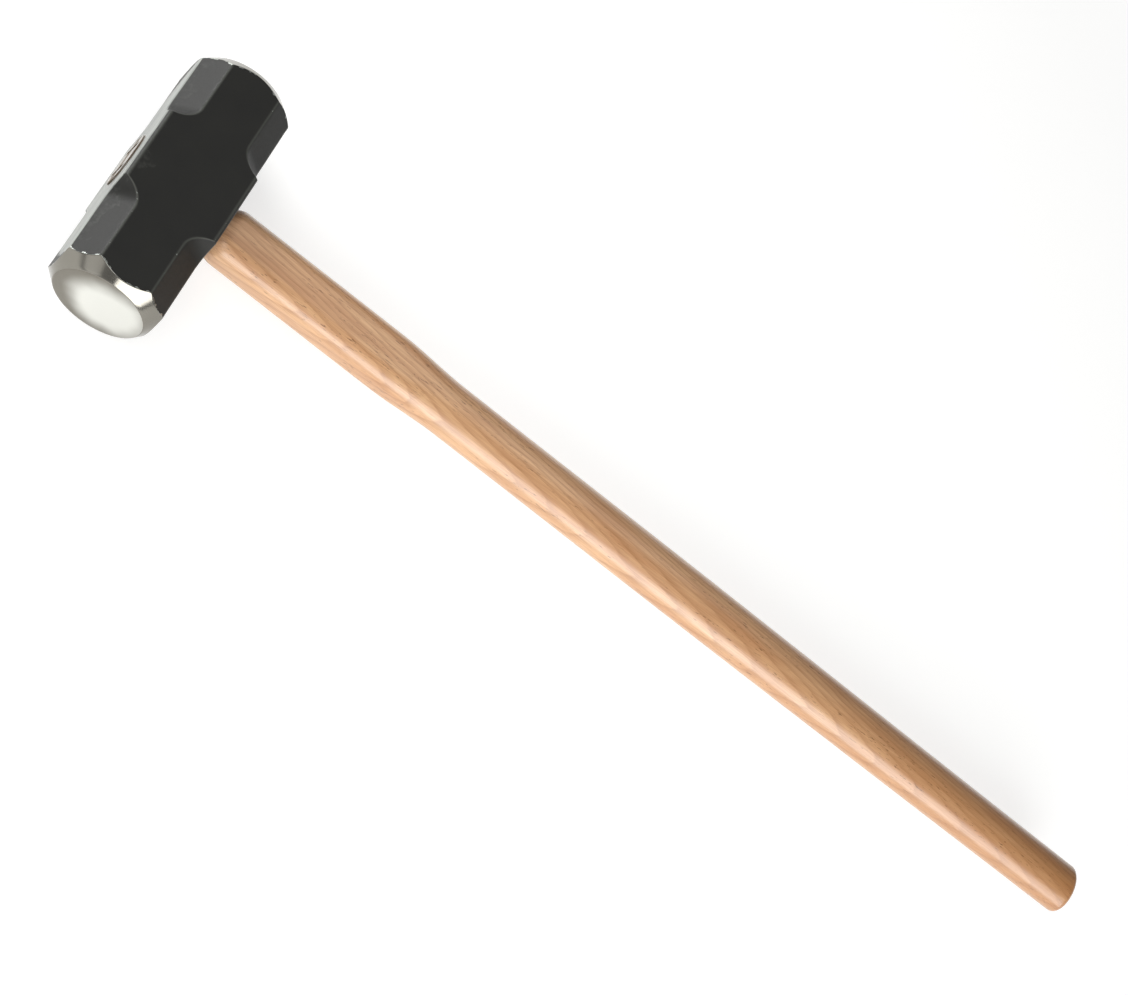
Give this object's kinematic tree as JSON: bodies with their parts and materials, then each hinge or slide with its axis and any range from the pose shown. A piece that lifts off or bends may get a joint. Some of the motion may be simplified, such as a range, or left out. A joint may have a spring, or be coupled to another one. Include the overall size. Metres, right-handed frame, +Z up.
{
  "type": "sledgehammer",
  "caption": "Two-handed sledgehammer: square-bodied forged steel head with chamfered ends and ground striking faces, wedged on a straight oval hickory handle.",
  "frame": {"origin": "the middle of the head's lower cheek, the flat the hammer lies on, straight below the point where the handle's axis crosses the head's striking axis", "axes": "+X along the handle from the head to the butt; Y along the head, the striking direction, with a striking face at each end; +Z up, out of the head's upper cheek"},
  "size_m": [0.9144, 0.198, 0.074],
  "materials": {
    "forged_head": "satin",
    "hickory": "satin",
    "wedge_wood": "matte",
    "wedge_steel": "satin"
  },
  "bodies": {
    "root": {"hammer_head": "forged_head", "handle": "hickory", "wood_wedge": "wedge_wood", "steel_wedge_1": "wedge_steel", "steel_wedge_2": "wedge_steel"}
  },
  "joints": []
}
